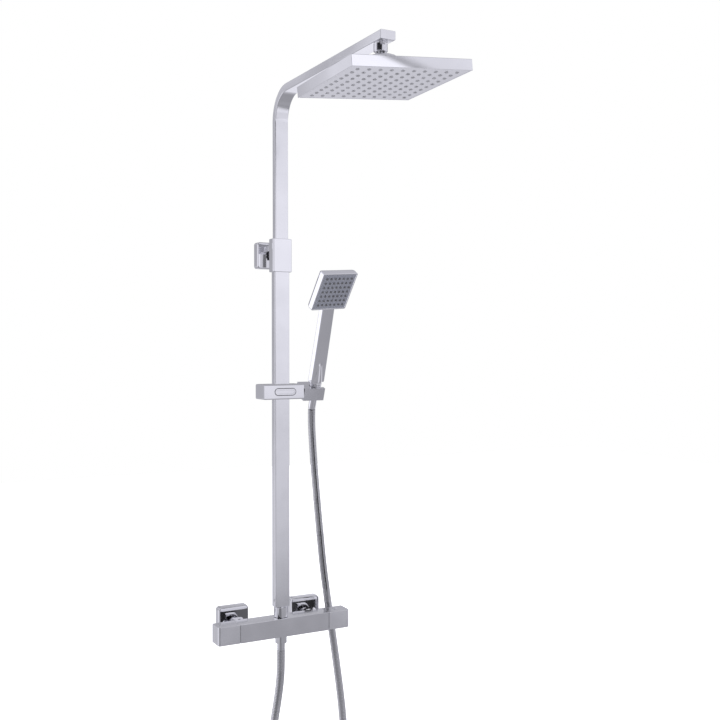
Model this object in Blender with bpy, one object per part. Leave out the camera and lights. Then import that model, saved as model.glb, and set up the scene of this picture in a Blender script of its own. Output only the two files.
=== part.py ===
"""Thermostatic shower column: bar valve, telescopic riser, rain head, slider, handset and hose.

Origin: the wall surface, midway between the two water inlets. +X is right, -Y comes out of the
wall and +Z is up. Sizes in this file are millimetres; every mesh is made in metres.
"""
import math

import bmesh
import bpy
import numpy as np
from mathutils import Vector

MM = 0.001
GAP = 0.35

# Bar valve
BAR_Y = -68.5
BAR_SIZE = 34.5
BODY_LEFT, BODY_RIGHT = -88.0, 93.0
KNOB_GAP = 0.5
LEFT_KNOB_LENGTH, RIGHT_KNOB_LENGTH = 40.0, 41.5
CARTRIDGE_R = 12.2
CARTRIDGE_LENGTH = 52.0
SPINDLE_R = 4.0
STOP_BUTTON_X = 114.0

# Water inlets
INLET_X = 75.0
FLANGE_SIZE, FLANGE_DEPTH = 60.0, 18.0
INLET_PIPE_R, INLET_BORE_R = 8.0, 6.0
INLET_RISE = 3.6
UNION_NUT_AF, UNION_NUT_FRONT = 32.0, -43.6

# Riser: a lower tube, and an upper tube that slides in it and bends into the arm
LOWER_W, LOWER_D = 29.6, 16.6
LOWER_WALL = 1.0
LOWER_BOTTOM, LOWER_TOP = 37.2, 727.0
UPPER_W, UPPER_D = 26.2, 14.0
UPPER_WALL = 1.2
UPPER_BOTTOM = 520.0
ARM_TOP = 1007.0
ARM_END_Y = -473.0
ARM_BEND_R = 53.0

# Wall bracket
SLEEVE_W, SLEEVE_D = 38.4, 21.4
SLEEVE_BOTTOM, SLEEVE_TOP = 667.0, 729.0
BRACKET_FLANGE, BRACKET_FLANGE_Z = 50.5, 702.0
ARM_Z = 714.8
ARM_HEIGHT = 10.8

# Rain head
BALL_Y, BALL_Z = -450.0, 970.0
BALL_R = 8.0
HEAD_SIZE, HEAD_THICK = 200.0, 17.0
HEAD_BOTTOM = -39.8
HEAD_TILT, HEAD_SPIN = -5.04, -2.48
HEAD_ROWS, HEAD_PITCH = 10, 18.4

# Slider and cradle
SLIDER_Z, SLIDER_HEIGHT = 443.3, 28.0
SLIDER_LEFT, SLIDER_RIGHT = -46.0, 35.0
SLIDER_FRONT, SLIDER_BACK = -98.0, -54.5
LINER_W, LINER_D = 33.0, 20.0
BUTTON_X, BUTTON_W, BUTTON_H = -3.2, 42.2, 12.8
PIVOT_Y = -78.0
CRADLE_TILT = 19.5
CRADLE_START, CRADLE_END, CRADLE_HEIGHT = 0.5, 42.5, 24.0
CONE_X, CONE_Y = 28.5, -5.0

# Handset, in a frame that stands on the cradle's cone, +Z up the handle
HANDSET_SPIN = 11.2
HANDLE_BOTTOM, HANDLE_TOP = 20.5, 169.0
HAND_HEAD_SIZE, HAND_HEAD_THICK = 78.0, 14.0
HAND_HEAD_Y, HAND_HEAD_Z, HAND_HEAD_TILT = -14.6, 202.0, 16.1
HAND_ROWS, HAND_PITCH = 7, 9.35

# Hose
HOSE_R = 7.0
HOSE_SPACING = 30.0
HOSE_ROUTE = (
    (63.5, -70.9, 407.9), (66.6, -64.0, 385.0), (70.1, -60.0, 350.0), (73.8, -58.0, 310.0),
    (78.2, -56.0, 270.0), (82.8, -54.0, 230.0), (88.0, -51.0, 190.0), (94.0, -47.0, 150.0),
    (100.3, -42.5, 110.0), (107.5, -38.0, 70.0), (115.0, -34.5, 30.0), (126.4, -33.0, -40.0),
    (137.8, -34.0, -120.0), (147.0, -36.0, -200.0), (152.0, -38.6, -290.0),
    (152.0, -41.0, -388.0), (143.5, -44.7, -425.3), (119.6, -48.4, -455.2),
    (85.1, -52.1, -471.8), (46.9, -55.9, -471.8), (12.4, -59.6, -455.2), (-11.5, -63.3, -425.3),
    (-20.3, -67.0, -388.0), (-21.2, -67.0, -290.0), (-17.2, -67.8, -205.0),
    (-8.2, -68.3, -148.0), (-1.2, -68.5, -95.0), (0.0, -68.5, -46.3),
)
HOSE_UPPER_LENGTH, HOSE_MIDDLE_LENGTH = 100.0, 150.0

LOOKS = {
    "chrome": ((0.80, 0.80, 0.83), 0.12, 1.0),
    "satin": ((0.70, 0.70, 0.73), 0.28, 1.0),
    "brass": ((0.72, 0.55, 0.30), 0.35, 1.0),
    "steel": ((0.45, 0.45, 0.47), 0.35, 1.0),
    "black": ((0.03, 0.03, 0.035), 0.40, 0.6),
    "face_grey": ((0.36, 0.38, 0.44), 0.35, 0.2),
    "silicone": ((0.12, 0.13, 0.15), 0.70, 0.0),
    "rubber": ((0.04, 0.04, 0.04), 0.80, 0.0),
    "plastic": ((0.78, 0.78, 0.76), 0.50, 0.0),
    "hose": ((0.66, 0.66, 0.68), 0.25, 1.0),
}


def clear_scene():
    for old in list(bpy.data.objects):
        bpy.data.objects.remove(old)


def material(look):
    found = bpy.data.materials.get(look)
    if found:
        return found
    colour, roughness, metallic = LOOKS[look]
    made = bpy.data.materials.new(look)
    made.use_nodes = True
    shader = made.node_tree.nodes["Principled BSDF"]
    shader.inputs["Base Color"].default_value = (*colour, 1.0)
    shader.inputs["Roughness"].default_value = roughness
    shader.inputs["Metallic"].default_value = metallic
    return made


def frame(name, place, turn=(0.0, 0.0, 0.0), parent=None):
    """An empty on a joint's axis; the pieces that move about it are its children."""
    empty = bpy.data.objects.new(name, None)
    bpy.context.collection.objects.link(empty)
    empty.parent = parent
    empty.location = Vector(place) * MM
    empty.rotation_euler = [math.radians(angle) for angle in turn]
    return empty


def to_object(name, shape, parent):
    bmesh.ops.recalc_face_normals(shape, faces=shape.faces)
    bmesh.ops.scale(shape, vec=(MM, MM, MM), verts=shape.verts)
    mesh = bpy.data.meshes.new(name)
    shape.to_mesh(mesh)
    shape.free()
    made = bpy.data.objects.new(name, mesh)
    bpy.context.collection.objects.link(made)
    made.parent = parent
    return made


def piece(name, shape, look, parent=None, smooth=False):
    made = to_object(name, shape, parent)
    made.data.materials.append(material(look))
    if smooth:
        made.data.shade_smooth()
        made.data.set_sharp_from_angle(angle=math.radians(35.0))
    return made


def combine(target, shape, operation="DIFFERENCE"):
    """Cuts a shape from a piece, or joins it on, with an exact Boolean."""
    number = len(target.modifiers) + 1
    tool = to_object(f"{target.name}_tool_{number}", shape, target.parent)
    tool.display_type = "WIRE"
    tool.hide_render = True
    boolean = target.modifiers.new(f"boolean_{number}", "BOOLEAN")
    boolean.operation = operation
    boolean.solver = "EXACT"
    boolean.object = tool
    return tool


def block(low, high, radius=0.0, along=None, steps=1):
    """A box between two corners, with the edges along one axis, or all of them, rounded."""
    shape = bmesh.new()
    bmesh.ops.create_cube(shape, size=1.0)
    low, high = Vector(low), Vector(high)
    bmesh.ops.scale(shape, vec=high - low, verts=shape.verts)
    bmesh.ops.translate(shape, vec=(low + high) / 2, verts=shape.verts)
    if radius:
        edges = shape.edges[:]
        if along is not None:
            axis = "XYZ".index(along)
            edges = [e for e in edges if abs((e.verts[0].co - e.verts[1].co)[axis]) > 1e-6]
        bmesh.ops.bevel(
            shape, geom=edges, offset=radius, segments=steps, profile=0.5, affect="EDGES"
        )
    return shape


def skin(loops, ring=False):
    """Faces between loops of equal count; a loop of one point is a tip. A ring joins its ends."""
    shape = bmesh.new()
    rows = [[shape.verts.new(point) for point in loop] for loop in loops]
    pairs = list(zip(rows, rows[1:]))
    if ring:
        pairs.append((rows[-1], rows[0]))
    for low, high in pairs:
        count = max(len(low), len(high))
        for i in range(count):
            j = (i + 1) % count
            corners = [low[i % len(low)], low[j % len(low)], high[j % len(high)], high[i % len(high)]]
            shape.faces.new(dict.fromkeys(corners))
    if not ring:
        for end in (rows[0], rows[-1]):
            if len(end) > 2:
                shape.faces.new(end)
    return shape


def to_axis(a, b, along, axis):
    """A point from two cross coordinates and one along an axis."""
    return {"X": (along, a, b), "Y": (b, along, a), "Z": (a, b, along)}[axis]


def turned(profile, sides=16, axis="Z", centre=(0.0, 0.0, 0.0), ring=False, phase=0.0):
    """A profile of (radius, height) points turned about an axis through the centre."""
    loops = []
    for radius, height in profile:
        loop = []
        for i in range(sides if radius else 1):
            angle = 2 * math.pi * i / sides + math.radians(phase)
            point = to_axis(radius * math.cos(angle), radius * math.sin(angle), height, axis)
            loop.append(Vector(centre) + Vector(point))
        loops.append(loop)
    return skin(loops, ring)


def rod(radius, start, end, axis="Z", centre=(0.0, 0.0, 0.0), sides=16, phase=0.0):
    return turned([(radius, start), (radius, end)], sides, axis, centre, phase=phase)


def washer(outer, inner, start, end, axis="Z", centre=(0.0, 0.0, 0.0), sides=16):
    profile = [(outer, start), (outer, end), (inner, end), (inner, start)]
    return turned(profile, sides, axis, centre, ring=True)


def rounded_outline(width, depth, radius, steps=2):
    """The corners of a rounded rectangle about the origin, counter-clockwise."""
    points = []
    for quarter, (sx, sy) in enumerate(((1, 1), (-1, 1), (-1, -1), (1, -1))):
        for step in range(steps + 1):
            angle = math.pi / 2 * (quarter + step / steps)
            x = sx * (width / 2 - radius) + radius * math.cos(angle)
            y = sy * (depth / 2 - radius) + radius * math.sin(angle)
            points.append((x, y))
    return points


def box_tube(outer, inner, bottom, top, radius, centre_y=0.0):
    """A rectangular tube standing along Z."""
    big = rounded_outline(*outer, radius)
    small = rounded_outline(*inner, max(radius - 1.0, 0.3))
    order = ((big, bottom), (big, top), (small, top), (small, bottom))
    return skin([[(x, centre_y + y, z) for x, y in line] for line, z in order], ring=True)


def hex_nut(name, flats, start, end, axis, centre, look, parent, bores, phase=0.0):
    """A hexagonal nut with one or more plain bores, each (radius, start, end)."""
    nut = piece(name, rod(flats / math.sqrt(3), start, end, axis, centre, 6, phase), look, parent)
    for radius, low, high in bores:
        combine(nut, rod(radius, low, high, axis, centre))
    return nut


# Bar valve

def make_valve_body():
    half = BAR_SIZE / 2
    low = (BODY_LEFT, BAR_Y - half, -half)
    high = (BODY_RIGHT, BAR_Y + half, half)
    body = piece("valve_body", block(low, high, 0.8, "X"), "chrome")
    axis = (0.0, BAR_Y, 0.0)
    bore = CARTRIDGE_R + GAP
    combine(body, rod(10.0, half - 3, 27.0, centre=axis), "UNION")
    combine(body, rod(8.8, -25.0, 3 - half, centre=axis), "UNION")
    for x in (-INLET_X, INLET_X):
        spigot = rod(11.0, BAR_Y + half - 3, -42.0, "Y", (x, 0, 0))
        combine(body, spigot, "UNION")
    left_end = BODY_LEFT + CARTRIDGE_LENGTH + 2
    right_end = BODY_RIGHT - CARTRIDGE_LENGTH - 2
    combine(body, rod(bore, BODY_LEFT - 1, left_end, "X", axis))
    combine(body, rod(bore, right_end, BODY_RIGHT + 1, "X", axis))
    combine(body, rod(6.0, left_end - 1, right_end + 1, "X", axis, 12))
    combine(body, rod(6.5, 0.0, 28.0, centre=axis, sides=12))
    combine(body, rod(4.5, -26.0, 0.0, centre=axis, sides=12))
    for x in (-INLET_X, INLET_X):
        combine(body, rod(7.0, BAR_Y, -41.0, "Y", (x, 0, 0), 12))


def make_knob(side, inner, length, knob_frame):
    """A square knob on a round spindle; side is -1 at the left end and 1 at the right."""
    name = "flow_knob" if side < 0 else "temperature_knob"
    half = BAR_SIZE / 2
    outer = inner + side * length
    ends = sorted((inner, outer))
    knob = piece(name, block((ends[0], -half, -half), (ends[1], half, half), 1.2), "chrome", knob_frame)
    roof, hub = outer - side * 4, inner + side * 6
    cavity = [(0.0, inner - side), (14.0, inner - side), (14.0, roof), (8.0, roof), (8.0, hub), (0.0, hub)]
    combine(knob, turned(cavity, 20, "X"))
    combine(knob, rod(SPINDLE_R + GAP, hub - side, inner + side * 24, "X", sides=12))
    screw_x = inner + side * 13.5
    combine(knob, rod(2.4, -half - 1, -1.0, centre=(screw_x, 0, 0), sides=8))
    screw = rod(2.0, 1 - half, -SPINDLE_R - GAP, centre=(screw_x, 0, 0), sides=8)
    piece(name + "_grub_screw", screw, "steel", knob_frame)
    return knob


def make_cartridge(side, name, spindle_name, inner, knob_frame):
    """A cartridge in the valve's end bore, and the spindle that the knob turns."""
    axis = (0.0, BAR_Y, 0.0)
    nose = inner + side * 4
    deep = inner - side * CARTRIDGE_LENGTH
    profile = [
        (9.0, deep), (9.0, deep + side * 8), (CARTRIDGE_R, deep + side * 9),
        (CARTRIDGE_R, deep + side * 18), (10.4, deep + side * 19), (10.4, deep + side * 28),
        (CARTRIDGE_R, deep + side * 29), (CARTRIDGE_R, inner - side * 0.4), (7.4, inner - side * 0.4),
        (7.4, nose),
    ]
    cartridge = piece(name, turned(profile, 16, "X", axis), "brass", smooth=True)
    socket = inner - side * 10
    combine(cartridge, rod(SPINDLE_R + GAP, socket, nose + side, "X", axis, 12))
    spindle = rod(SPINDLE_R, socket + side * GAP, inner + side * 23, "X", sides=12)
    piece(spindle_name, spindle, "brass", knob_frame, smooth=True)


def make_stop_button(knob, button_frame):
    """The override button on top of the temperature knob, and its wave spring."""
    combine(knob, rod(4.6, 10.0, BAR_SIZE / 2 + 1, centre=(STOP_BUTTON_X, 0, 0), sides=12))
    profile = [(5.6, 10.6), (5.6, 12.0), (4.2, 12.0), (4.2, 18.8)]
    button = turned(profile, 12)
    piece("temperature_stop_button", button, "satin", button_frame, smooth=True)
    piece("stop_button_spring", washer(4.6, 3.2, 8.5, 10.3, sides=12), "steel", button_frame)


# Water inlets

def make_inlet(side):
    x = side * INLET_X
    hand = "left" if side < 0 else "right"
    centre, tail_centre = (x, 0.0, 0.0), (x, 0.0, INLET_RISE)
    half = FLANGE_SIZE / 2
    low, high = INLET_RISE - half, INLET_RISE + half
    cover_box = block((x - half, -FLANGE_DEPTH, low), (x + half, 0.0, high), 5.0, "Y", 3)
    cover = piece(f"{hand}_wall_flange", cover_box, "chrome")
    inside = block((x - half + 2.5, 3 - FLANGE_DEPTH, low + 2.5), (x + half - 2.5, 1.0, high - 2.5))
    combine(cover, inside)
    combine(cover, rod(INLET_PIPE_R + 0.6, -FLANGE_DEPTH - 1, 0.0, "Y", tail_centre))

    profile = [(10.6, -39.4), (10.6, -36.4), (INLET_PIPE_R, -36.4), (INLET_PIPE_R, -19.5)]
    solid = [(0.0, -39.4), *profile, (0.0, -19.5)]
    pipe = piece(f"{hand}_inlet_connector", turned(solid, 16, "Y", centre), "chrome", smooth=True)
    combine(pipe, rod(INLET_PIPE_R, -23.0, 15.0, "Y", tail_centre, phase=7), "UNION")
    combine(pipe, rod(INLET_BORE_R, -41.0, -21.3, "Y", centre, 12))
    combine(pipe, rod(INLET_BORE_R, -22.2, 16.0, "Y", tail_centre, 12, 9))
    seal = washer(10.4, 7.2, -41.7, -39.7, "Y", centre)
    piece(f"{hand}_inlet_washer", seal, "rubber", smooth=True)
    valve = [(3.4, -36.0), (5.6, -34.0), (5.6, -24.5), (2.6, -22.5)]
    piece(f"{hand}_check_valve", turned(valve, 12, "Y", centre), "plastic", smooth=True)
    bores = ((11.4, UNION_NUT_FRONT - 1, -36.0), (INLET_PIPE_R + 0.5, -37.0, -30.0))
    hex_nut(f"{hand}_union_nut", UNION_NUT_AF, UNION_NUT_FRONT, -31.0, "Y", centre, "chrome", None, bores, 30)


# Riser

def make_lower_riser():
    inner = (LOWER_W - 2 * LOWER_WALL, LOWER_D - 2 * LOWER_WALL)
    tube = box_tube((LOWER_W, LOWER_D), inner, LOWER_BOTTOM, LOWER_TOP, 1.6, BAR_Y)
    piece("lower_riser_tube", tube, "chrome", smooth=True)
    axis = (0.0, BAR_Y, 0.0)
    half_w, half_d = inner[0] / 2 - GAP, inner[1] / 2 - GAP
    plug = block((-half_w, BAR_Y - half_d, 38.0), (half_w, BAR_Y + half_d, 50.0))
    foot = piece("riser_foot", plug, "brass")
    combine(foot, turned([(9.9, 29.3), (9.9, 30.7), (7.1, 30.7), (7.1, 40.0)], 16, "Z", axis), "UNION")
    combine(foot, rod(4.8, 28.0, 51.0, centre=axis, sides=12))
    piece("riser_washer", washer(9.8, 6.8, 27.3, 29.0, centre=axis), "rubber", smooth=True)
    bores = ((10.4, 17.0, 31.0), (7.6, 30.0, 38.0))
    hex_nut("riser_union_nut", 26.0, 17.7, 36.8, "Z", axis, "chrome", None, bores, -4)


def arm_stations():
    """Centre points of the upper tube and the directions across its thin side."""
    top = ARM_TOP - UPPER_D / 2
    stations = [((BAR_Y, UPPER_BOTTOM), 0.0)]
    steps = 6
    for i in range(steps + 1):
        angle = math.pi / 2 * i / steps
        y = BAR_Y - ARM_BEND_R * (1 - math.cos(angle))
        z = top - ARM_BEND_R * (1 - math.sin(angle))
        stations.append(((y, z), angle))
    stations.append(((ARM_END_Y + 1.6, top), math.pi / 2))
    return stations


def make_riser_arm(riser_frame):
    """The upper tube: it slides in the lower one, bends outwards and becomes the arm."""
    def loop(station, outline):
        (y, z), angle = station
        across, up = math.cos(angle), math.sin(angle)
        return [(a, y - BAR_Y + b * across, z + b * up) for a, b in outline]

    outer = rounded_outline(UPPER_W, UPPER_D, 1.4)
    inner = rounded_outline(UPPER_W - 2 * UPPER_WALL, UPPER_D - 2 * UPPER_WALL, 0.5)
    stations = arm_stations()
    loops = [loop(s, outer) for s in stations] + [loop(s, inner) for s in reversed(stations)]
    arm = piece("riser_arm", skin(loops, ring=True), "chrome", riser_frame, smooth=True)
    ball_y = BALL_Y - BAR_Y
    combine(arm, rod(6.0, ARM_TOP - UPPER_D - 1, ARM_TOP - UPPER_D + 4, centre=(0, ball_y, 0), sides=12))

    seal = box_tube((26.9, 14.0), (20.0, 8.0), UPPER_BOTTOM - 12, UPPER_BOTTOM - GAP, 1.2)
    piece("telescope_seal", seal, "rubber", riser_frame)
    front = ARM_END_Y - BAR_Y
    half = UPPER_W / 2
    cap = block((-half, front, ARM_TOP - UPPER_D), (half, front + 1.3, ARM_TOP), 1.4, "Y", 2)
    piece("arm_end_cap", cap, "chrome", riser_frame)


# Wall bracket

def make_bracket():
    inner = (LOWER_W + 2 * GAP, LOWER_D + 2 * GAP)
    sleeve_shape = box_tube((SLEEVE_W, SLEEVE_D), inner, SLEEVE_BOTTOM, SLEEVE_TOP, 2.5, BAR_Y)
    sleeve = piece("bracket_sleeve", sleeve_shape, "chrome", smooth=True)
    half_w, half_h = SLEEVE_W / 2, ARM_HEIGHT / 2
    lug_low = (-half_w - 1.0, BAR_Y - SLEEVE_D / 2 + 3, ARM_Z - half_h)
    lug_high = (2.5 - half_w, BAR_Y + SLEEVE_D / 2 - 1, ARM_Z + half_h)
    combine(sleeve, block(lug_low, lug_high), "UNION")

    arm_front = BAR_Y + SLEEVE_D / 2 + GAP
    arm_box = block((-6.0, arm_front, ARM_Z - half_h), (6.0, -5.4, ARM_Z + half_h), 0.8, "Y")
    arm = piece("bracket_arm", arm_box, "chrome")
    screw_axis = (0.0, -23.6, 0.0)
    combine(arm, rod(2.8, ARM_Z - half_h - 1, ARM_Z + 3.5, centre=screw_axis, sides=10))
    under = ARM_Z - half_h
    lock = [(2.4, ARM_Z + 3.0), (2.4, under - GAP), (5.0, under - GAP), (5.0, under - 12), (3.2, under - 16)]
    piece("bracket_lock_screw", turned(lock, 14, "Z", screw_axis), "black", smooth=True)

    half = BRACKET_FLANGE / 2
    mid = BRACKET_FLANGE_Z
    cover_box = block((-half, -FLANGE_DEPTH, mid - half), (half, 0.0, mid + half), 4.0, "Y", 3)
    cover = piece("bracket_wall_flange", cover_box, "chrome")
    hollow = half - 2.5
    combine(cover, block((-hollow, 3 - FLANGE_DEPTH, mid - hollow), (hollow, 1.0, mid + hollow)))
    slot_low = (-6.5, -FLANGE_DEPTH - 1, ARM_Z - half_h - 0.5)
    combine(cover, block(slot_low, (6.5, 0.0, ARM_Z + half_h + 0.5)))

    plate = piece("bracket_wall_plate", block((-19, -5.0, mid - 19), (19, 0.0, mid + 19)), "steel")
    screw_at = (0.0, 0.0, mid - 8)
    combine(plate, rod(2.9, -6.0, 1.0, "Y", screw_at, 12))
    screw = [(4.4, -8.2), (4.4, -5.4), (2.4, -5.4), (2.4, 32.0), (0.0, 38.0)]
    piece("bracket_fixing_screw", turned(screw, 12, "Y", screw_at), "steel", smooth=True)


# Rain head

def hole_grid(rows, pitch, half, low, high, place):
    """One mesh of square pegs on a square grid, to cut nozzle openings with."""
    pegs = bmesh.new()
    first = -(rows - 1) / 2 * pitch
    for column in range(rows):
        for row in range(rows):
            x, y = first + column * pitch, first + row * pitch
            loops = []
            for height in (low, high):
                corners = ((-half, -half), (half, -half), (half, half), (-half, half))
                spots = [(x + dx, y + dy, height) for dx, dy in corners]
                loops.append([pegs.verts.new(place(spot)) for spot in spots])
            bottom, top = loops
            pegs.faces.new(bottom)
            pegs.faces.new(top)
            for i in range(4):
                j = (i + 1) % 4
                pegs.faces.new((bottom[i], bottom[j], top[j], top[i]))
    return pegs


def make_ball_joint(riser_frame, seat_frame, slip_frame):
    """Ball stud and ribbed nut on the arm, and the two nested rings that carry the tilt."""
    centre = (0.0, BALL_Y - BAR_Y, BALL_Z)
    profile = [(2.4, 34.0), (2.4, -7.4)]
    for latitude in (-60, -35, -10, 15, 40):
        angle = math.radians(latitude)
        profile.append((BALL_R * math.cos(angle), BALL_R * math.sin(angle)))
    profile += [(4.4, 7.2), (4.4, 12.2), (5.5, 12.2), (5.5, 34.0)]
    stud = turned(profile, 16, "Z", centre, ring=True)
    piece("ball_stud", stud, "brass", riser_frame, smooth=True)
    nut = [(11.0, 12.4), (11.0, 22.6), (5.9, 22.6), (5.9, 12.4)]
    piece("arm_swivel_nut", turned(nut, 24, "Z", centre, ring=True), "chrome", riser_frame, smooth=True)

    for name, low, high, holder in (
        ("ball_seat", BALL_R + 0.45, BALL_R + 1.35, seat_frame),
        ("ball_slip_ring", BALL_R + 1.8, BALL_R + 2.7, slip_frame),
    ):
        angles = [math.radians(a) for a in (-34, -12, 12, 34)]
        outside = [(high * math.cos(a), high * math.sin(a)) for a in angles]
        inside = [(low * math.cos(a), low * math.sin(a)) for a in reversed(angles)]
        ring = turned(outside + inside, 16, "Z", ring=True)
        piece(name, ring, "plastic", holder, smooth=True)


def make_rain_head(head_frame):
    half = HEAD_SIZE / 2
    bottom, top = HEAD_BOTTOM, HEAD_BOTTOM + HEAD_THICK
    box = block((-half, -half, bottom), (half, half, top), 1.0)
    shell = piece("rain_head_shell", box, "chrome", head_frame)
    inside = half - 2.2
    combine(shell, block((-inside, -inside, bottom - 1), (inside, inside, top - 2)))
    combine(shell, rod(7.2, top - 3, top + 1, sides=12))

    cavity_r = BALL_R + 3.2
    socket = [(32.0, top + 0.3), (28.0, -10.0), (22.0, 4.0), (13.0, 8.0), (9.2, 9.3)]
    for latitude in (42, 14, -14, -42):
        angle = math.radians(latitude)
        socket.append((cavity_r * math.cos(angle), cavity_r * math.sin(angle)))
    socket += [(4.4, -11.5), (4.4, top + 0.3)]
    dome = turned(socket, 20, "Z", ring=True)
    piece("rain_head_socket", dome, "chrome", head_frame, smooth=True)

    edge = inside - GAP
    face = piece("rain_head_face", block((-edge, -edge, bottom), (edge, edge, bottom + 2.0)), "face_grey", head_frame)
    holes = hole_grid(HEAD_ROWS, HEAD_PITCH, 2.0, bottom - 1, bottom + 3, lambda spot: spot)
    combine(face, holes)
    edge -= 1.0
    mat = block((-edge, -edge, bottom + 2.3), (edge, edge, bottom + 4.0))
    piece("rain_head_nozzle_mat", mat, "silicone", head_frame)


# Slider and cradle

def stadium(width, height, front, back, centre):
    """A long round-ended block lying along X and reaching in Y."""
    radius = height / 2
    loops = []
    for y in (front, back):
        loop = []
        for side, start in ((1, -90), (-1, 90)):
            for step in range(6):
                angle = math.radians(start + 36 * step)
                x = side * (width / 2 - radius) + radius * math.cos(angle)
                loop.append((centre[0] + x, y, centre[1] + radius * math.sin(angle)))
        loops.append(loop)
    return skin(loops)


def make_slider(slider_frame):
    half = SLIDER_HEIGHT / 2
    front, back = SLIDER_FRONT - BAR_Y, SLIDER_BACK - BAR_Y
    box = block((SLIDER_LEFT, front, -half), (SLIDER_RIGHT, back, half), 1.0)
    slider = piece("slider_body", box, "chrome", slider_frame)
    wide, deep = LINER_W / 2 + 0.3, LINER_D / 2 + 0.3
    combine(slider, block((-wide, -deep, -half - 1), (wide, deep, half + 1)))
    pocket = stadium(BUTTON_W + 0.8, BUTTON_H + 0.8, front - 1, front + 11.5, (BUTTON_X, 0))
    combine(slider, pocket)
    pivot = (0.0, PIVOT_Y - BAR_Y, 0.0)
    combine(slider, rod(3.9, SLIDER_RIGHT - 12, SLIDER_RIGHT + 1, "X", pivot, 12))

    opening = (LOWER_W + 2 * GAP, LOWER_D + 2 * GAP)
    liner = box_tube((LINER_W, LINER_D), opening, 0.6 - half, half - 0.6, 1.5)
    piece("slider_liner", liner, "plastic", slider_frame)
    pin = rod(3.5, SLIDER_RIGHT - 11.5, SLIDER_RIGHT + 11.5, "X", pivot, 12)
    piece("cradle_pivot_pin", pin, "steel", slider_frame, smooth=True)


def make_slider_button(button_frame):
    front = SLIDER_FRONT - BAR_Y
    cap = stadium(BUTTON_W, BUTTON_H, front - 0.4, front + 7.0, (BUTTON_X, 0))
    piece("slider_release_button", cap, "chrome", button_frame, smooth=True)
    spring = washer(5.0, 3.4, front + 7.3, front + 11.2, "Y", (BUTTON_X, 0, 0), 12)
    piece("release_button_spring", spring, "steel", button_frame, smooth=True)


def make_cradle(cradle_frame):
    half = CRADLE_HEIGHT / 2
    box = block((CRADLE_START, -20.0, -half), (CRADLE_END, 17.0, half), 1.0)
    cradle = piece("handset_cradle", box, "satin", cradle_frame)
    cone = [(8.8, -half - 1), (12.0, half + 1)]
    combine(cradle, turned(cone, 20, "Z", (CONE_X, CONE_Y, 0)))
    slot_half = HOSE_R + 0.5
    slot = block((CONE_X, CONE_Y - slot_half, -half - 1), (CRADLE_END + 1, CONE_Y + slot_half, half + 1))
    combine(cradle, slot)
    combine(cradle, rod(3.9, 0.0, 12.0, "X", sides=12))


# Handset

def make_hose_end(end_frame):
    """The conical nut that sits in the cradle, with the hose's upper ferrule and washer."""
    cone = [(8.3, -13.0), (11.2, 12.0), (11.2, 19.6), (6.9, 19.6), (6.9, -13.0)]
    piece("hose_cone_nut", turned(cone, 24, "Z", ring=True), "chrome", end_frame, smooth=True)
    ferrule = [(HOSE_R - 0.5, -34.6), (HOSE_R - 0.5, 12.5), (3.6, 12.5), (3.6, -34.6)]
    piece("hose_top_ferrule", turned(ferrule, 16, "Z", ring=True), "chrome", end_frame, smooth=True)
    piece("handset_hose_washer", washer(6.3, 3.6, 12.9, 14.6), "rubber", end_frame, smooth=True)


def hand_head_point(spot):
    """From the handset head's own frame (X across, Y up, Z out of its back) to the handle's."""
    angle = math.radians(HAND_HEAD_TILT)
    x, up, back = spot
    y = back * math.cos(angle) - up * math.sin(angle)
    z = back * math.sin(angle) + up * math.cos(angle)
    return (x, HAND_HEAD_Y + y, HAND_HEAD_Z + z)


def hand_head_block(width, low, high, radius=0.0):
    """A square plate in the handset head's frame, from one depth to another."""
    half = width / 2
    shape = block((-half, -half, low), (half, half, high), radius)
    for vertex in shape.verts:
        vertex.co = hand_head_point(vertex.co)
    return shape


def make_handset(handset_frame):
    wide, slim = 14.2, 12.6
    foot = [(-wide, -6.0), (wide, -6.0), (wide, 6.6), (-wide, 6.6)]
    head = [(-slim, -4.6), (slim, -4.6), (slim, 7.4), (-slim, 7.4)]
    loops = [
        [(x, y, HANDLE_BOTTOM) for x, y in foot],
        [(x, y, HANDLE_TOP) for x, y in head],
    ]
    handle = skin(loops)
    bmesh.ops.bevel(
        handle, geom=handle.edges[:], offset=1.0, segments=1, profile=0.5, affect="EDGES"
    )
    shell = piece("handset_shell", handle, "chrome", handset_frame)
    combine(shell, hand_head_block(HAND_HEAD_SIZE, 0.0, HAND_HEAD_THICK, 1.0), "UNION")
    neck = [(11.2, HANDLE_BOTTOM - 0.4), (11.2, HANDLE_BOTTOM + 5), (5.5, HANDLE_BOTTOM + 44)]
    combine(shell, turned(neck, 20), "UNION")
    combine(shell, rod(6.3, 15.0, HANDLE_BOTTOM + 2, sides=12), "UNION")
    combine(shell, hand_head_block(HAND_HEAD_SIZE - 4.4, -1.0, 4.2))
    combine(shell, hand_head_block(HAND_HEAD_SIZE - 10.0, 3.0, 10.0))
    combine(shell, rod(3.6, 14.0, HANDLE_TOP + 6, sides=10))

    inside = HAND_HEAD_SIZE - 4.4 - 2 * GAP
    face = piece("handset_face", hand_head_block(inside, 0.0, 2.0), "face_grey", handset_frame)
    combine(face, hole_grid(HAND_ROWS, HAND_PITCH, 1.4, -1.0, 3.0, hand_head_point))
    mat = hand_head_block(inside - 1.0, 2.3, 3.6)
    piece("handset_nozzle_mat", mat, "silicone", handset_frame)


# Hose

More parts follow.
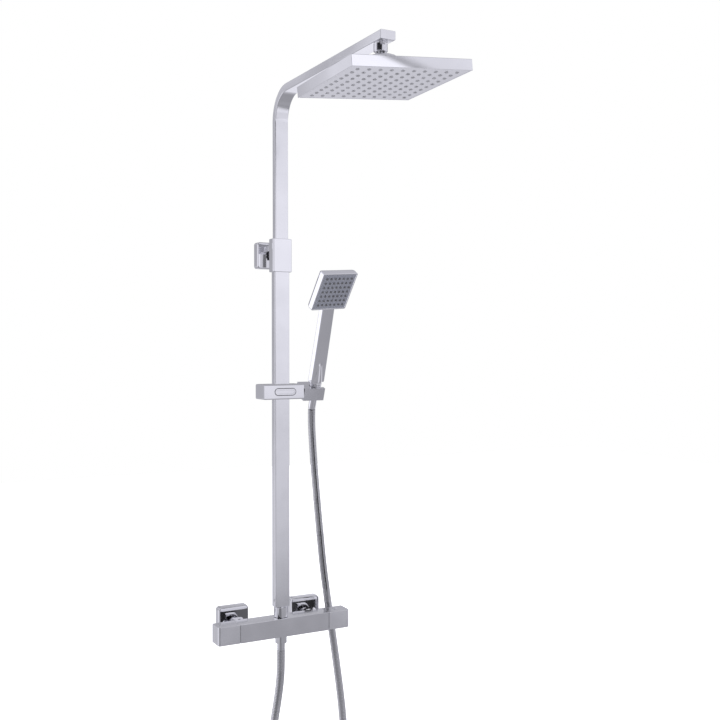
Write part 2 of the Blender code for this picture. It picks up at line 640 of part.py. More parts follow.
def smooth_curve(route, spacing):
    """Evenly spaced points on a natural cubic curve through the route's points."""
    points = np.array(route)
    count = len(points)
    step = np.linalg.norm(np.diff(points, axis=0), axis=1)
    place = np.concatenate(([0.0], np.cumsum(step)))
    system = np.eye(count)
    right = np.zeros((count, 3))
    for i in range(1, count - 1):
        system[i, i - 1:i + 2] = (step[i - 1], 2 * (step[i - 1] + step[i]), step[i])
        slopes = (points[i + 1] - points[i]) / step[i] - (points[i] - points[i - 1]) / step[i - 1]
        right[i] = 6 * slopes
    bend = np.linalg.solve(system, right)

    def at(distance):
        i = min(np.searchsorted(place, distance, side="right") - 1, count - 2)
        a, b, h = distance - place[i], place[i + 1] - distance, step[i]
        curved = (bend[i] * b**3 + bend[i + 1] * a**3) / (6 * h)
        level = (points[i] / h - bend[i] * h / 6) * b + (points[i + 1] / h - bend[i + 1] * h / 6) * a
        return curved + level

    total = place[-1]
    return [at(d) for d in np.linspace(0.0, total, max(2, round(total / spacing)) + 1)]


def hose_piece(name, points, parent=None):
    curve = bpy.data.curves.new(name, "CURVE")
    curve.dimensions = "3D"
    curve.bevel_depth = HOSE_R * MM
    curve.bevel_resolution = 2
    curve.use_fill_caps = True
    spline = curve.splines.new("POLY")
    spline.points.add(len(points) - 1)
    for target, point in zip(spline.points, points):
        target.co = (*(Vector(point) * MM), 1.0)
    curve.materials.append(material("hose"))
    made = bpy.data.objects.new(name, curve)
    bpy.context.collection.objects.link(made)
    made.parent = parent
    if parent:
        bpy.context.view_layer.update()
        made.matrix_parent_inverse = parent.matrix_world.inverted()


def make_hose():
    """One hose in three lengths, so that each follows the joint beside it."""
    fine = smooth_curve(HOSE_ROUTE, 5.0)
    per_point = round(HOSE_SPACING / 5.0)
    first = round(HOSE_UPPER_LENGTH / 5.0)
    second = first + round(HOSE_MIDDLE_LENGTH / 5.0)
    spans = (("hose_upper", 0, first), ("hose_middle", first, second), ("hose_lower", second, len(fine) - 1))
    for name, start, end in spans:
        picked = list(range(start, end, per_point)) + [end]
        if picked[-1] - picked[-2] < per_point / 2:
            picked.pop(-2)
        points = [Vector(fine[i]) for i in picked]
        if start:
            points[0] += (points[1] - points[0]).normalized() * 0.3
        hose_piece(name, points)


def make_hose_outlet():
    """The nut, washer and ferrule that join the hose to the underside of the valve."""
    axis = (0.0, BAR_Y, 0.0)
    bores = ((9.2, -28.4, -17.0), (HOSE_R + 0.1, -33.0, -28.0))
    hex_nut("hose_outlet_nut", 22.0, -32.0, -17.7, "Z", axis, "chrome", None, bores, 2)
    ferrule = [
        (8.7, -27.9), (8.7, -26.8), (3.6, -26.8), (3.6, -46.0), (HOSE_R - 0.4, -46.0), (HOSE_R - 0.4, -27.9),
    ]
    piece("hose_bottom_ferrule", turned(ferrule, 16, "Z", axis, ring=True), "chrome", smooth=True)
    piece("hose_outlet_washer", washer(8.5, 4.0, -26.5, -25.3, centre=axis), "rubber", smooth=True)


def main():
    clear_scene()
    make_valve_body()
    left_inner, right_inner = BODY_LEFT - KNOB_GAP, BODY_RIGHT + KNOB_GAP
    flow_axis = frame("flow_axis", (0, BAR_Y, 0))
    temperature_axis = frame("temperature_axis", (0, BAR_Y, 0))
    make_knob(-1, left_inner, LEFT_KNOB_LENGTH, flow_axis)
    temperature = make_knob(1, right_inner, RIGHT_KNOB_LENGTH, temperature_axis)
    make_cartridge(-1, "diverter_cartridge", "diverter_spindle", left_inner, flow_axis)
    make_cartridge(1, "thermostatic_cartridge", "temperature_spindle", right_inner, temperature_axis)
    stop_axis = frame("stop_button_axis", (STOP_BUTTON_X, 0, 0), parent=temperature_axis)
    make_stop_button(temperature, stop_axis)
    for side in (-1, 1):
        make_inlet(side)

    make_lower_riser()
    make_bracket()
    riser_axis = frame("riser_axis", (0, BAR_Y, 0))
    make_riser_arm(riser_axis)
    ball = (0, BALL_Y - BAR_Y, BALL_Z)
    head_axis = frame("head_axis", ball, (0, HEAD_TILT, HEAD_SPIN), riser_axis)
    seat_axis = frame("seat_axis", ball, parent=riser_axis)
    slip_axis = frame("slip_axis", ball, parent=riser_axis)
    make_ball_joint(riser_axis, seat_axis, slip_axis)
    make_rain_head(head_axis)

    slider_axis = frame("slider_axis", (0, BAR_Y, SLIDER_Z))
    make_slider(slider_axis)
    make_slider_button(frame("button_axis", (0, 0, 0), parent=slider_axis))
    pivot = (SLIDER_RIGHT, PIVOT_Y - BAR_Y, 0)
    cradle_axis = frame("cradle_axis", pivot, (CRADLE_TILT, 0, 0), slider_axis)
    make_cradle(cradle_axis)
    cone = (CONE_X, CONE_Y, 0)
    make_hose_end(frame("hose_end_axis", cone, parent=cradle_axis))
    make_handset(frame("handset_axis", cone, (0, 0, HANDSET_SPIN), cradle_axis))

    make_hose()
    make_hose_outlet()


main()
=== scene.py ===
"""Looks of the shower column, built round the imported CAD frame.

The row frame has its origin on the wall, midway between the inlets: +X right, -Y out of the wall,
+Z up. Shapes are made in millimetres and turned to metres as each mesh is finished.
"""
import math

import bmesh
import bpy
import numpy as np
from mathutils import Matrix, Vector


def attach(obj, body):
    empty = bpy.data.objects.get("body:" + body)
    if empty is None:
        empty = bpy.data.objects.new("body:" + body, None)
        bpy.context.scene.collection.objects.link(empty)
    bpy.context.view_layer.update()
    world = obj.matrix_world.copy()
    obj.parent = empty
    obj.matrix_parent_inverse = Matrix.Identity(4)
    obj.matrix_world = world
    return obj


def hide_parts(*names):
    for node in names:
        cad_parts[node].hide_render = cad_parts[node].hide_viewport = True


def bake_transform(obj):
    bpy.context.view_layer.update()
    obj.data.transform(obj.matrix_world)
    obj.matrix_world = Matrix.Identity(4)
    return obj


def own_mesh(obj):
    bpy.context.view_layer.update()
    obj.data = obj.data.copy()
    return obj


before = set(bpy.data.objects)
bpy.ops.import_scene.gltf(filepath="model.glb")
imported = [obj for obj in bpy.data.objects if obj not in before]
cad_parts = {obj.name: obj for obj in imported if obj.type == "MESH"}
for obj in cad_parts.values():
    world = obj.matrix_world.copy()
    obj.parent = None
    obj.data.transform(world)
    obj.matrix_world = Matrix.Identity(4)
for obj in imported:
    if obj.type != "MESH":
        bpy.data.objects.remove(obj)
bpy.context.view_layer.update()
MM = 0.001

# Camera
CAMERA_PLACE = (-0.7446, -1.7646, 0.5343)
CAMERA_PITCH, CAMERA_YAW = 89.0, -28.33
CAMERA_LENS = 49.05

# The same sizes as the CAD, in millimetres
BAR_Y, BAR_HALF = -68.5, 17.25
BODY_LEFT, BODY_RIGHT = -88.0, 93.0
KNOB_LEFT, KNOB_RIGHT = -128.5, 135.0
STOP_X = 114.0
INLET_X, INLET_RISE = 75.0, 3.6
RISER_FOOT, RISER_TOP = 37.2, 727.0
ARM_TOP, ARM_END, BEND_R = 1007.0, -473.0, 53.0
BALL = (0.0, -450.0, 970.0)
SLIDER_Z, BUTTON_X = 443.3, -3.2
FLANGE_SIZE, BRACKET_COVER_SIZE = 60.0, 50.5
LOWER_TUBE, LOWER_BORE = (29.6, 16.6), (27.6, 14.6)
ARM_TUBE, ARM_BORE = (26.2, 14.0), (23.8, 11.6)
HEAD_HALF, HEAD_BOTTOM, HEAD_TOP = 100.0, -39.8, -22.8
HOSE_R = 7.0
HOSE_ROUTE = (
    (63.5, -70.9, 407.9), (66.6, -64.0, 385.0), (70.1, -60.0, 350.0), (73.8, -58.0, 310.0),
    (78.2, -56.0, 270.0), (82.8, -54.0, 230.0), (88.0, -51.0, 190.0), (94.0, -47.0, 150.0),
    (100.3, -42.5, 110.0), (107.5, -38.0, 70.0), (115.0, -34.5, 30.0), (126.4, -33.0, -40.0),
    (137.8, -34.0, -120.0), (147.0, -36.0, -200.0), (152.0, -38.6, -290.0),
    (152.0, -41.0, -388.0), (143.5, -44.7, -425.3), (119.6, -48.4, -455.2),
    (85.1, -52.1, -471.8), (46.9, -55.9, -471.8), (12.4, -59.6, -455.2), (-11.5, -63.3, -425.3),
    (-20.3, -67.0, -388.0), (-21.2, -67.0, -290.0), (-17.2, -67.8, -205.0),
    (-8.2, -68.3, -148.0), (-1.2, -68.5, -95.0), (0.0, -68.5, -46.3),
)
HOSE_UPPER, HOSE_MIDDLE = 100.0, 150.0
RIB_PITCH, RIB_DEPTH = 2.8, 0.6
RIB_SWELL = 0.7  # the ribs stand this far out of the plain hose, once clear of the handset
FINE_STEP, COARSE_STEP, PATH_SKIP = 0.35, 5.0, 12
LOWER_BEND = ((0.1, 0.1), (-0.0376, 0.0392))  # two (x, z) places in metres for a bend of the lower hose, read in blend_hose but not used

# The studio's brightness, as (elevation, level) rows for each heading round the object. Headings
# run from straight behind it (-180) by its left (-90), front (0) and right (90), all in degrees.
LILAC = (1.0, 0.997, 1.08, 1.0)
WHITE = (1.0, 1.0, 1.0, 1.0)
BEHIND = (
    (-90, 0.33), (-45, 0.34), (-16, 0.40), (-4, 0.26), (4, 0.24), (16, 0.40), (40, 0.55), (90, 0.55),
)
REAR_LEFT = (
    (-90, 0.33), (-45, 0.40), (-20, 0.50), (-16, 0.60), (-9, 0.65), (-4, 0.48), (1, 0.46), (10, 0.44),
    (13, 0.52), (17, 0.72), (40, 0.70), (90, 0.55),
)
LEFT_WINDOW = (
    (-90, 0.33), (-45, 0.50), (-20, 0.9), (-12, 1.2), (-5, 1.3), (5, 1.2), (15, 1.0), (90, 0.55),
)
DARK_SIDE = (
    (-90, 0.30), (-45, 0.30), (-28, 0.38), (-19, 0.40), (-17, 0.24), (-16, 0.20), (-1.5, 0.22),
    (2, 0.70), (8, 0.70), (12, 0.02), (22, 0.02), (40, 0.50), (90, 0.55),
)
FRONT_RIGHT = (
    (-90, 0.33), (-60, 0.31), (-36, 0.29), (-32, 0.62), (-28, 0.78), (-4.5, 0.82), (-0.4, 0.90),
    (2.5, 0.94), (6.5, 0.98), (8.3, 0.94), (10.5, 0.86), (12.3, 0.80), (20, 0.84), (40, 0.15),
    (65, 0.15), (90, 0.55),
)
SKY = (
    (-180, BEHIND),
    (-168, BEHIND),
    (-162, REAR_LEFT),
    (-149, REAR_LEFT),
    (-145, LEFT_WINDOW),
    (-125, LEFT_WINDOW),
    (-104, ((-90, 0.33), (-45, 0.40), (-19, 0.42), (-17, 0.50), (-15.4, 0.98), (-12, 1.05),
            (0, 0.95), (16, 0.80), (90, 0.55))),
    (-84, ((-90, 0.33), (-45, 0.38), (-19, 0.40), (-17, 0.48), (-15.4, 0.90), (-4, 0.90), (8, 0.80),
           (12, 0.30), (16, 0.02), (22, 0.02), (40, 0.50), (90, 0.55))),
    (-68, ((-90, 0.30), (-45, 0.35), (-19, 0.42), (-16, 0.60), (-10, 0.65), (-4, 0.62), (4, 0.70),
           (8, 0.55), (12, 0.02), (22, 0.01), (40, 0.50), (90, 0.55))),
    (-52, DARK_SIDE),
    (-11, DARK_SIDE),
    (-4, ((-90, 0.30), (-45, 0.34), (-19, 0.42), (-16, 0.30), (-2, 0.34), (2, 0.60), (8, 0.60),
          (14, 0.50), (22, 0.55), (40, 0.60), (90, 0.55))),
    (4, ((-90, 0.30), (-45, 0.34), (-19, 0.42), (-16, 0.36), (-4, 0.42), (4, 0.60), (14, 0.80),
         (22, 0.85), (40, 0.70), (90, 0.55))),
    (15, ((-90, 0.30), (-45, 0.35), (-20, 0.45), (-9, 0.60), (-3, 0.76), (3, 0.92), (12, 0.84),
          (22, 0.84), (40, 0.70), (90, 0.55))),
    (22, FRONT_RIGHT),
    (38, FRONT_RIGHT),
    (50, ((-90, 0.33), (-60, 0.40), (-40, 0.44), (-20, 0.36), (-16, 0.40), (-9, 0.60), (0, 0.85),
          (8, 0.95), (16, 0.85), (40, 0.60), (90, 0.55))),
    (78, ((-90, 0.33), (-46, 0.38), (-20, 0.28), (-12, 0.45), (0, 0.85), (16, 0.90), (56, 0.55),
          (90, 0.55))),
    (121, ((-90, 0.33), (-45, 0.38), (-18, 0.80), (-10, 0.80), (0, 0.50), (16, 0.55), (56, 0.55),
           (90, 0.55))),
    (152, ((-90, 0.33), (-58, 0.34), (-45, 0.36), (-30, 0.60), (-18, 0.98), (-12, 0.95), (-6, 0.60),
           (0, 0.40), (4, 0.36), (10, 0.42), (14, 0.86), (15, 0.66), (15.8, 0.46), (16.8, 0.34),
           (22, 0.36), (40, 0.50), (90, 0.55))),
    (180, BEHIND),
)

# Frames of the tilted parts, in millimetres
WORLD = Matrix.Identity(4)
CRADLE = Matrix.Translation((35.0, -78.0, SLIDER_Z)) @ Matrix.Rotation(math.radians(19.5), 4, "X")
HOSE_END = CRADLE @ Matrix.Translation((28.5, -5.0, 0.0))
HANDSET = HOSE_END @ Matrix.Rotation(math.radians(11.2), 4, "Z")
HEAD_LEAN = Matrix.Rotation(math.radians(16.1), 4, "X")
HAND_HEAD = HANDSET @ Matrix.Translation((0, -14.6, 202.0)) @ HEAD_LEAN
HEAD_SPIN = Matrix.Rotation(math.radians(-2.48), 4, "Z") @ Matrix.Rotation(math.radians(-5.04), 4, "Y")
RAIN_HEAD = Matrix.Translation(BALL) @ HEAD_SPIN


# Camera, light and stage

def make_camera():
    data = bpy.data.cameras.new("camera")
    data.lens = CAMERA_LENS
    data.clip_start, data.clip_end = 0.05, 50.0
    camera = bpy.data.objects.new("camera", data)
    bpy.context.collection.objects.link(camera)
    camera.location = CAMERA_PLACE
    camera.rotation_euler = (math.radians(CAMERA_PITCH), 0.0, math.radians(CAMERA_YAW))
    bpy.context.scene.camera = camera


class Nodes:
    """Short names for building a node tree."""

    def __init__(self, tree):
        self.tree = tree
        tree.nodes.clear()

    def add(self, kind, inputs=None, **settings):
        node = self.tree.nodes.new(kind)
        for key, value in settings.items():
            setattr(node, key, value)
        for key, value in (inputs or {}).items():
            self.put(node, key, value)
        return node

    def put(self, node, key, value):
        if isinstance(value, bpy.types.NodeSocket):
            self.tree.links.new(value, node.inputs[key])
        elif isinstance(value, bpy.types.Node):
            self.tree.links.new(value.outputs[0], node.inputs[key])
        else:
            node.inputs[key].default_value = value

    def math(self, operation, a, b=0.0, c=0.5):
        return self.add("ShaderNodeMath", {0: a, 1: b, 2: c}, operation=operation).outputs[0]

    def scale(self, value, factor, offset=0.5):
        return self.math("MULTIPLY_ADD", value, factor, offset)

    def ramp(self, factor, stops, interpolation="EASE"):
        node = self.add("ShaderNodeValToRGB", {"Fac": factor})
        ramp = node.color_ramp
        ramp.interpolation = interpolation
        for i, (position, value) in enumerate(stops):
            stop = ramp.elements[i] if i < 2 else ramp.elements.new(position)
            stop.position = position
            colour = value if isinstance(value, tuple) else (value, value, value)
            stop.color = (*colour, 1.0)
        return node.outputs[0]

    def mix(self, factor, a, b, blend="MIX"):
        node = self.add("ShaderNodeMix", {0: factor, 6: a, 7: b}, data_type="RGBA", blend_type=blend)
        return node.outputs[2]


def studio():
    """A pale studio: between one heading and the next, brightness by elevation is blended."""
    world = bpy.data.worlds.new("studio")
    bpy.context.scene.world = world
    world.use_nodes = True
    n = Nodes(world.node_tree)
    way = n.add("ShaderNodeTexCoord").outputs["Generated"]
    x, y, z = n.add("ShaderNodeSeparateXYZ", {0: way}).outputs
    height = n.scale(n.math("ARCSINE", z), 1 / math.pi)
    turn = n.scale(n.math("ARCTAN2", x, n.math("MULTIPLY", y, -1.0)), 0.5 / math.pi)
    columns = []
    for _, levels in SKY:
        stops = [(0.5 + elevation / 180.0, level) for elevation, level in levels]
        columns.append(n.ramp(height, stops, "LINEAR"))
    light = columns[0]
    for (last, _), (heading, _), column in zip(SKY, SKY[1:], columns[1:]):
        span = {0: turn, 1: 0.5 + last / 360.0, 2: 0.5 + heading / 360.0}
        near = n.add("ShaderNodeMapRange", span)
        light = n.mix(near.outputs[0], light, column)
    tinted = n.mix(1.0, light, LILAC, "MULTIPLY")
    seen = n.add("ShaderNodeLightPath").outputs["Is Camera Ray"]
    colour = n.mix(seen, tinted, WHITE)
    glow = n.add("ShaderNodeBackground", {"Color": colour, "Strength": 1.0})
    n.add("ShaderNodeOutputWorld", {"Surface": glow})


def glossy_card(name, corners, stops, along=(1.0, 0.0, 0.0)):
    """A card of light or shade that only reflections see, its level set by the place along it."""
    shape = bmesh.new()
    shape.faces.new([shape.verts.new(corner) for corner in corners])
    card = raw_object(name, shape)
    made = bpy.data.materials.new(name)
    made.use_nodes = True
    n = Nodes(made.node_tree)
    place = n.add("ShaderNodeTexCoord").outputs["Object"]
    reach = n.add("ShaderNodeVectorMath", {0: place, 1: along}, operation="DOT_PRODUCT").outputs["Value"]
    first, last = stops[0][0], stops[-1][0]
    near = n.add("ShaderNodeMapRange", {0: reach, 1: first * MM, 2: last * MM})
    levels = [((at - first) / (last - first), level) for at, level in stops]
    shade = n.ramp(near.outputs[0], levels, "LINEAR")
    glow = n.add("ShaderNodeEmission", {"Color": n.mix(1.0, shade, LILAC, "MULTIPLY")})
    n.add("ShaderNodeOutputMaterial", {"Surface": glow})
    card.data.materials.append(made)
    card.visible_camera = card.visible_diffuse = card.visible_shadow = False


def upright_card(name, y, left, right, low, high, stops, along=(1.0, 0.0, 0.0)):
    corners = [(left, y, low), (right, y, low), (right, y, high), (left, y, high)]
    glossy_card(name, corners, stops, along)


def make_cards():
    up = (0.0, 0.0, 1.0)
    upright_card(
        "bar_back_shade", -50.9, -100, 112, -17.2, 17.2,
        ((-100, 0.025), (-66, 0.02), (-56, 0.12), (-30, 0.13), (30, 0.06), (80, 0.035), (112, 0.02)),
    )
    upright_card(
        "sleeve_back_shade", -57.0, -18, 18, 668, 708,
        ((-18, 0.75), (-6, 1.0), (-4, 0.68), (1, 0.65), (2.5, 0.17), (8.5, 0.18), (9.5, 0.8), (18, 0.7)),
    )
    upright_card(
        "head_side_light", 300, -620, -235, 1010, 1400,
        ((-620, 0.80), (-440, 0.80), (-424, 0.70), (-330, 0.50), (-240, 0.57)),
    )
    upright_card(
        "head_front_light", -1050, 60, 440, 1040, 1200,
        ((2300, 1.15), (2382, 1.15), (2412, 0.40), (2430, 0.50), (2470, 0.82), (2600, 0.86)),
        (1.0, 0.0, 2.0),
    )
    upright_card(
        "front_column", -600, 195, 335, -92, 680,
        ((-92, 0.42), (8, 0.57), (155, 0.66), (383, 0.74), (405, 0.82), (586, 0.90), (680, 0.92)), up,
    )
    strand = [
        (62, -97, 385), (80, -97, 385), (96, -88, 190), (120, -72, 30), (101, -72, 30), (78, -88, 190),
    ]
    glossy_card("hose_shade", strand, ((-200, 0.015), (200, 0.015)))
    foot = ((-420, 0.38), (-150, 0.38), (-92, 0.41))
    upright_card("front_foot", -600, 30, 520, -420, -92, foot, up)


# Materials

SMUDGE = 0.02


def coat(name, colour, metallic, roughness, streak=None, grain=0.0, grain_scale=900.0, tint=0.03,
         noise_scale=22.0):
    """A finish with uneven polish, faint smudges and, where asked, fine lines along one axis."""
    made = bpy.data.materials.new(name)
    made.use_nodes = True
    n = Nodes(made.node_tree)
    place = n.add("ShaderNodeTexCoord").outputs["Object"]
    shader = n.add("ShaderNodeBsdfPrincipled", {"Metallic": metallic})
    n.add("ShaderNodeOutputMaterial", {"Surface": shader})
    broad = n.add("ShaderNodeTexNoise", {"Vector": place, "Scale": noise_scale, "Detail": 4.0})
    broad = broad.outputs["Fac"]
    dark = tuple(c * (1 - tint) for c in colour)
    light = tuple(min(1.0, c * (1 + tint)) for c in colour)
    shade = n.ramp(broad, ((0.3, dark), (0.7, light)))
    n.put(shader, "Base Color", shade)
    fine = n.add("ShaderNodeTexNoise", {"Vector": place, "Scale": grain_scale, "Detail": 3.0})
    fine = fine.outputs["Fac"]
    uneven = n.ramp(broad, ((0.25, roughness - SMUDGE), (0.75, roughness + SMUDGE)))
    n.put(shader, "Roughness", uneven)
    height = n.math("MULTIPLY", fine, grain)
    if streak:
        stretch = n.add("ShaderNodeMapping", {"Vector": place, "Scale": streak})
        lines = n.add("ShaderNodeTexNoise", {"Vector": stretch, "Scale": 1.0, "Detail": 6.0})
        height = n.math("ADD", height, lines.outputs["Fac"])
    if streak or grain:
        bump = n.add("ShaderNodeBump", {"Height": height, "Strength": 0.15, "Distance": 0.00005})
        n.put(shader, "Normal", bump)
    return made


def make_materials():
    polish = (0.82, 0.82, 0.845)
    return {
        "chrome": coat("polished_chrome", polish, 1.0, 0.07, noise_scale=14.0, grain=0.2),
        "tube": coat("chrome_tube", polish, 1.0, 0.14, (700.0, 700.0, 12.0)),
        "bar": coat("chrome_bar", polish, 1.0, 0.14, (12.0, 700.0, 700.0)),
        "satin": coat("satin_chrome", (0.70, 0.70, 0.725), 1.0, 0.26, grain=0.8, grain_scale=1500.0),
        "plate": coat("spray_plate", (0.64, 0.64, 0.665), 1.0, 0.24, (500.0, 30.0, 30.0)),
        "knob": coat("knob_chrome", polish, 1.0, 0.24, (12.0, 700.0, 700.0)),
        "grey": coat("face_grey", (0.29, 0.30, 0.345), 0.5, 0.30, grain=0.6),
        "nozzle": coat("nozzle_rubber", (0.11, 0.11, 0.12), 0.0, 0.55, grain=0.8, tint=0.1),
        "pale_nozzle": coat("pale_nozzle_rubber", (0.25, 0.25, 0.27), 0.0, 0.5, grain=0.8, tint=0.1),
        "rubber": coat("seal_rubber", (0.03, 0.03, 0.03), 0.0, 0.7, grain=1.0, tint=0.1),
        "black": coat("black_screw", (0.02, 0.02, 0.024), 0.3, 0.35, grain=0.5, tint=0.1),
        "brass": coat("brass", (0.66, 0.46, 0.20), 1.0, 0.28, grain=0.8, tint=0.08),
        "steel": coat("steel", (0.42, 0.42, 0.44), 1.0, 0.34, grain=0.8, tint=0.06),
        "plastic": coat("white_plastic", (0.72, 0.72, 0.70), 0.0, 0.42, grain=0.5),
        "hose": coat("hose_steel", (0.60, 0.60, 0.615), 1.0, 0.14, grain=0.3),
    }


# Shapes

def block(low, high, radius=0.0, along="Z", steps=3):
    """A box whose edges along one axis may be rounded."""
    shape = bmesh.new()
    bmesh.ops.create_cube(shape, size=1.0)
    low, high = Vector(low), Vector(high)
    bmesh.ops.scale(shape, vec=high - low, verts=shape.verts)
    bmesh.ops.translate(shape, vec=(low + high) / 2, verts=shape.verts)
    if radius:
        round_edges(shape, long_edges(shape, along), radius, steps)
    return shape


def skin(loops, ring=False):
    """Faces between loops of equal count; a loop of one point is a tip. A ring joins its ends."""
    shape = bmesh.new()
    rows = [[shape.verts.new(point) for point in loop] for loop in loops]
    pairs = list(zip(rows, rows[1:]))
    if ring:
        pairs.append((rows[-1], rows[0]))
    for low, high in pairs:
        count = max(len(low), len(high))
        for i in range(count):
            j = (i + 1) % count
            corners = [low[i % len(low)], low[j % len(low)], high[j % len(high)], high[i % len(high)]]
            shape.faces.new(dict.fromkeys(corners))
    if not ring:
        for end in (rows[0], rows[-1]):
            if len(end) > 2:
                shape.faces.new(end)
    return shape


def on_axis(a, b, along, axis):
    return {"X": (along, a, b), "Y": (b, along, a), "Z": (a, b, along)}[axis]


def turned(profile, sides=48, axis="Z", centre=(0.0, 0.0, 0.0), ring=False, phase=0.0):
    """A profile of (radius, height) points turned about an axis."""
    loops = []
    for radius, height in profile:
        loop = []
        for i in range(sides if radius else 1):
            angle = 2 * math.pi * i / sides + math.radians(phase)
            spot = on_axis(radius * math.cos(angle), radius * math.sin(angle), height, axis)
            loop.append(Vector(centre) + Vector(spot))
        loops.append(loop)
    return skin(loops, ring)


def rod(radius, start, end, axis="Z", centre=(0.0, 0.0, 0.0), sides=48, phase=0.0):
    return turned([(radius, start), (radius, end)], sides, axis, centre, phase=phase)


def uneven_outline(width, depth, front, back, steps=5):
    """A rectangle round its middle, with one corner radius at the front and one at the back."""
    points = []
    corners = ((1, -1, front), (1, 1, back), (-1, 1, back), (-1, -1, front))
    for i, (side, end, radius) in enumerate(corners):
        x, y = side * (width / 2 - radius), end * (depth / 2 - radius)
        for step in range(steps + 1):
            angle = math.radians(90.0 * (i - 1 + step / steps))
            points.append((x + radius * math.cos(angle), y + radius * math.sin(angle)))
    return points


def rounded_outline(width, depth, radius, steps=6):
    points = []
    for quarter, (sx, sy) in enumerate(((1, 1), (-1, 1), (-1, -1), (1, -1))):
        for step in range(steps + 1):
            angle = math.pi / 2 * (quarter + step / steps)
            x = sx * (width / 2 - radius) + radius * math.cos(angle)
            y = sy * (depth / 2 - radius) + radius * math.sin(angle)
            points.append((x, y))
    return points


def arc_steps(count):
    """Angles from nothing to a right angle."""
    return [math.pi / 2 * i / count for i in range(count + 1)]


def long_edges(shape, axis):
    reach = "XYZ".index(axis)
    return [e for e in shape.edges if abs((e.verts[0].co - e.verts[1].co)[reach]) > 1e-6]


def upright_edges(shape, x, y):
    """The edges that lie at one place in plan."""
    return [
        e for e in shape.edges if all(abs(v.co.x - x) < 1e-6 and abs(v.co.y - y) < 1e-6 for v in e.verts)
    ]


def is_level(edge):
    return len({round(v.co.z, 4) for v in edge.verts}) == 1


def round_edges(shape, edges, radius, steps):
    bmesh.ops.bevel(shape, geom=edges, offset=radius, segments=steps, profile=0.5, affect="EDGES")


# Making and finishing pieces

def raw_object(name, shape, place=WORLD):
    bmesh.ops.transform(shape, matrix=place, verts=shape.verts)
    bmesh.ops.recalc_face_normals(shape, faces=shape.faces)
    bmesh.ops.scale(shape, vec=(MM, MM, MM), verts=shape.verts)
    mesh = bpy.data.meshes.new(name)
    shape.to_mesh(mesh)
    shape.free()
    made = bpy.data.objects.new(name, mesh)
    bpy.context.collection.objects.link(made)
    return made


def apply_all(piece):
    """Makes the piece's modifiers part of its mesh."""
    graph = bpy.context.evaluated_depsgraph_get()
    final = bpy.data.meshes.new_from_object(piece.evaluated_get(graph))
    piece.modifiers.clear()
    old, piece.data = piece.data, final
    name = old.name
    bpy.data.meshes.remove(old)
    final.name = name


def combine(piece, shape, operation="DIFFERENCE", place=WORLD):
    tool = raw_object("tool", shape, place)
    cut = piece.modifiers.new("boolean", "BOOLEAN")
    cut.operation, cut.solver, cut.object = operation, "EXACT", tool
    apply_all(piece)
    bpy.data.objects.remove(tool)


def dress(piece, body, look, nodes=(), edge=0.0, angle=32.0, steps=3, ridden=True):
    """Softens the edges, sets the finish, ties the piece to its body when asked and hides the CAD nodes
    it stands for.
    """
    piece.data.materials.clear()
    piece.data.materials.append(MATERIALS[look])
    piece.data.shade_smooth()
    if edge:
        bevel = piece.modifiers.new("bevel", "BEVEL")
        bevel.width, bevel.segments = edge * MM, steps
        bevel.limit_method, bevel.angle_limit = "ANGLE", math.radians(angle)
        bevel.harden_normals = True
        bevel.miter_outer = "MITER_ARC"
        apply_all(piece)
    piece.data.set_sharp_from_angle(angle=math.radians(angle))
    even = piece.modifiers.new("normals", "WEIGHTED_NORMAL")
    even.keep_sharp = True
    apply_all(piece)
    if ridden:
        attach(piece, body)
    if nodes:
        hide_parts(*nodes)
    return piece


def piece(name, shape, body, look, nodes=(), place=WORLD, edge=0.0, angle=32.0, steps=3, tools=()):
    """A whole piece: its shape, the shapes cut from or joined to it, and its finish."""
    made = raw_object(name, shape, place)
    for operation, tool in tools:
        combine(made, tool, operation, place)
    return dress(made, body, look, nodes, edge, angle, steps)


CUT, JOIN, KEEP = "DIFFERENCE", "UNION", "INTERSECT"


def merged(shapes):
    """Several closed shapes in one mesh."""
    whole = bmesh.new()
    for shape in shapes:
        part = bpy.data.meshes.new("part")
        shape.to_mesh(part)
        shape.free()
        whole.from_mesh(part)
        bpy.data.meshes.remove(part)
    return whole


def box_tube(outer, inner, stations, radius, centre_y=0.0, end_edge=0.4):
    """A rectangular tube standing along Z, its ends' outer edges eased."""
    bottom, top = stations
    rings = (
        (end_edge, bottom), (0.0, bottom + end_edge), (0.0, top - end_edge), (end_edge, top),
    )
    loops = []
    for inset, z in rings:
        line = rounded_outline(outer[0] - 2 * inset, outer[1] - 2 * inset, radius - inset * 0.5)
        loops.append([(x, centre_y + y, z) for x, y in line])
    line = rounded_outline(*inner, max(radius - 1.0, 0.4))
    loops += [[(x, centre_y + y, z) for x, y in line] for z in (top, bottom)]
    return skin(loops, ring=True)


def hex_nut(name, body, flats, start, end, axis, centre, bore, nodes, phase, rounding=0.0):
    """A bored hexagon with both ends turned to a chamfer, its corners rounded where asked."""
    corner = flats / math.sqrt(3)
    ease = corner - flats / 2 * 0.985
    barrel = [
        (flats / 2 * 0.97, start), (corner + 0.1, start + ease * 0.75),
        (corner + 0.1, end - ease * 0.75), (flats / 2 * 0.97, end),
    ]
    hexagon = rod(corner, start, end, axis, centre, 6, phase)
    if rounding:
        round_edges(hexagon, long_edges(hexagon, axis), rounding, 6)
    hole = rod(bore, start - 1, end + 1, axis, centre)
    tools = ((KEEP, turned(barrel, 72, axis, centre)), (CUT, hole))
    return piece(name, hexagon, body, "chrome", nodes, edge=0.35, tools=tools)


# Valve

